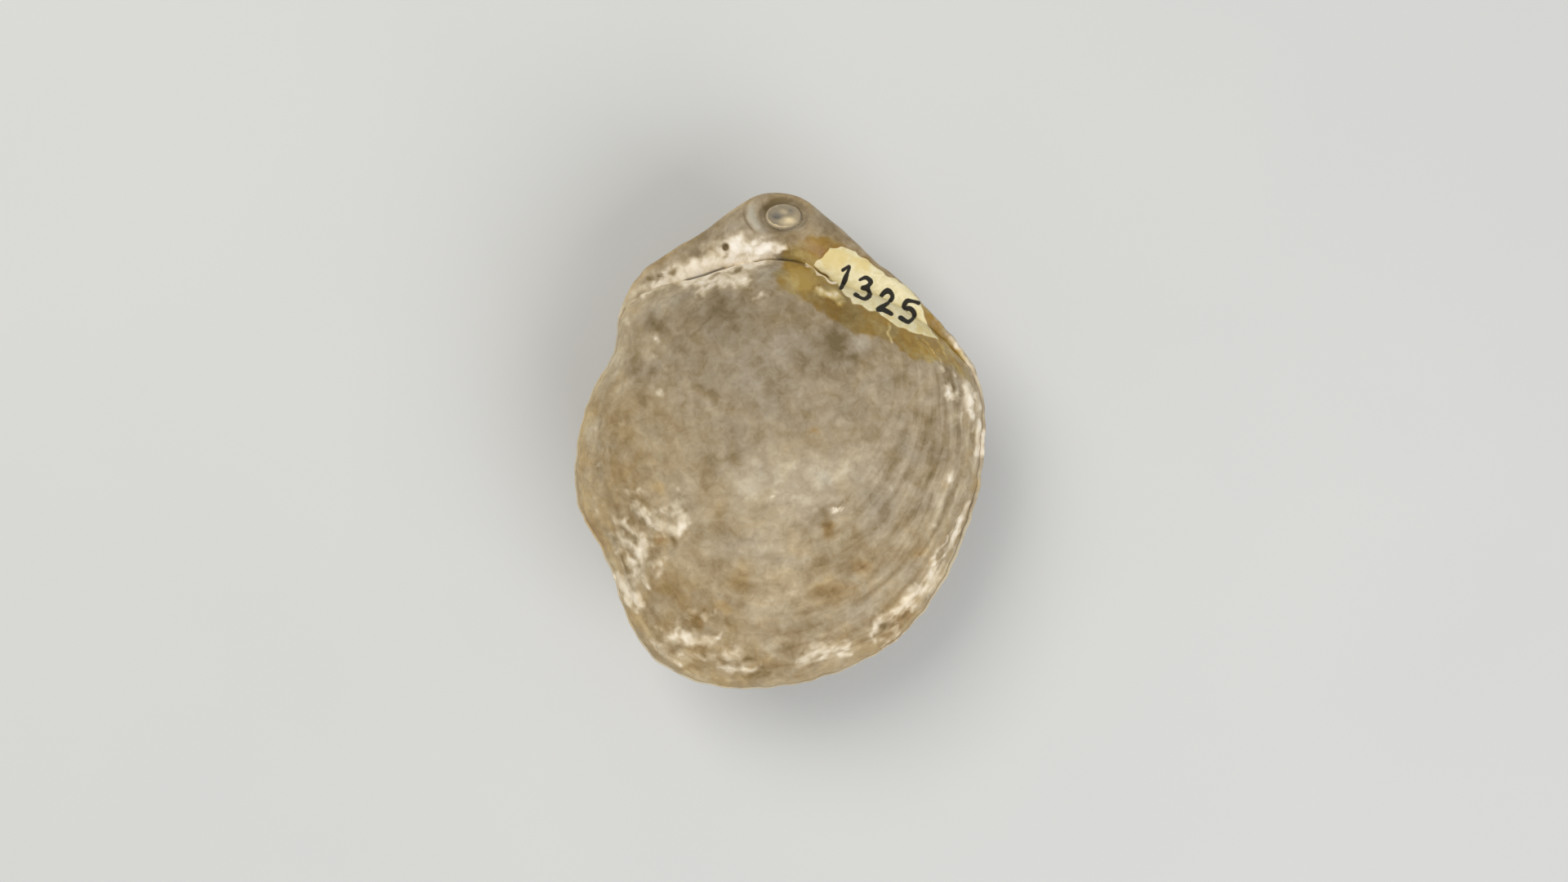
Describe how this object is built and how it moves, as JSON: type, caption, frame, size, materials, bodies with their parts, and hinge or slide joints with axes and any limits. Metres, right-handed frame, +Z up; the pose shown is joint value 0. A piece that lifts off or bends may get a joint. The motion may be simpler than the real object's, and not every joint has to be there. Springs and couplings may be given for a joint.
{
  "type": "fossil brachiopod shell",
  "caption": "Fossil Coenothyris brachiopod with both valves closed and filled with sediment, lying on its pedicle valve.",
  "frame": {"origin": "on the table surface, under the middle of the shell's outline", "axes": "+Y towards the beak, +Z up through the brachial valve, +X to the right seen from above with the beak away"},
  "size_m": [0.025, 0.0299, 0.0138],
  "materials": {
    "pedicle_shell": "grey-brown calcite shell, dull, with chalky worn patches, an amber varnish and a cream paint patch by the hinge",
    "brachial_shell": "grey-tan calcite shell, worn to a soft silky stone, with chalky flaked patches near the margin",
    "sediment": "hardened lime mud, matt"
  },
  "bodies": {
    "root": {"pedicle_valve": "pedicle_shell", "brachial_valve": "brachial_shell", "foramen_fill": "sediment"}
  },
  "joints": []
}
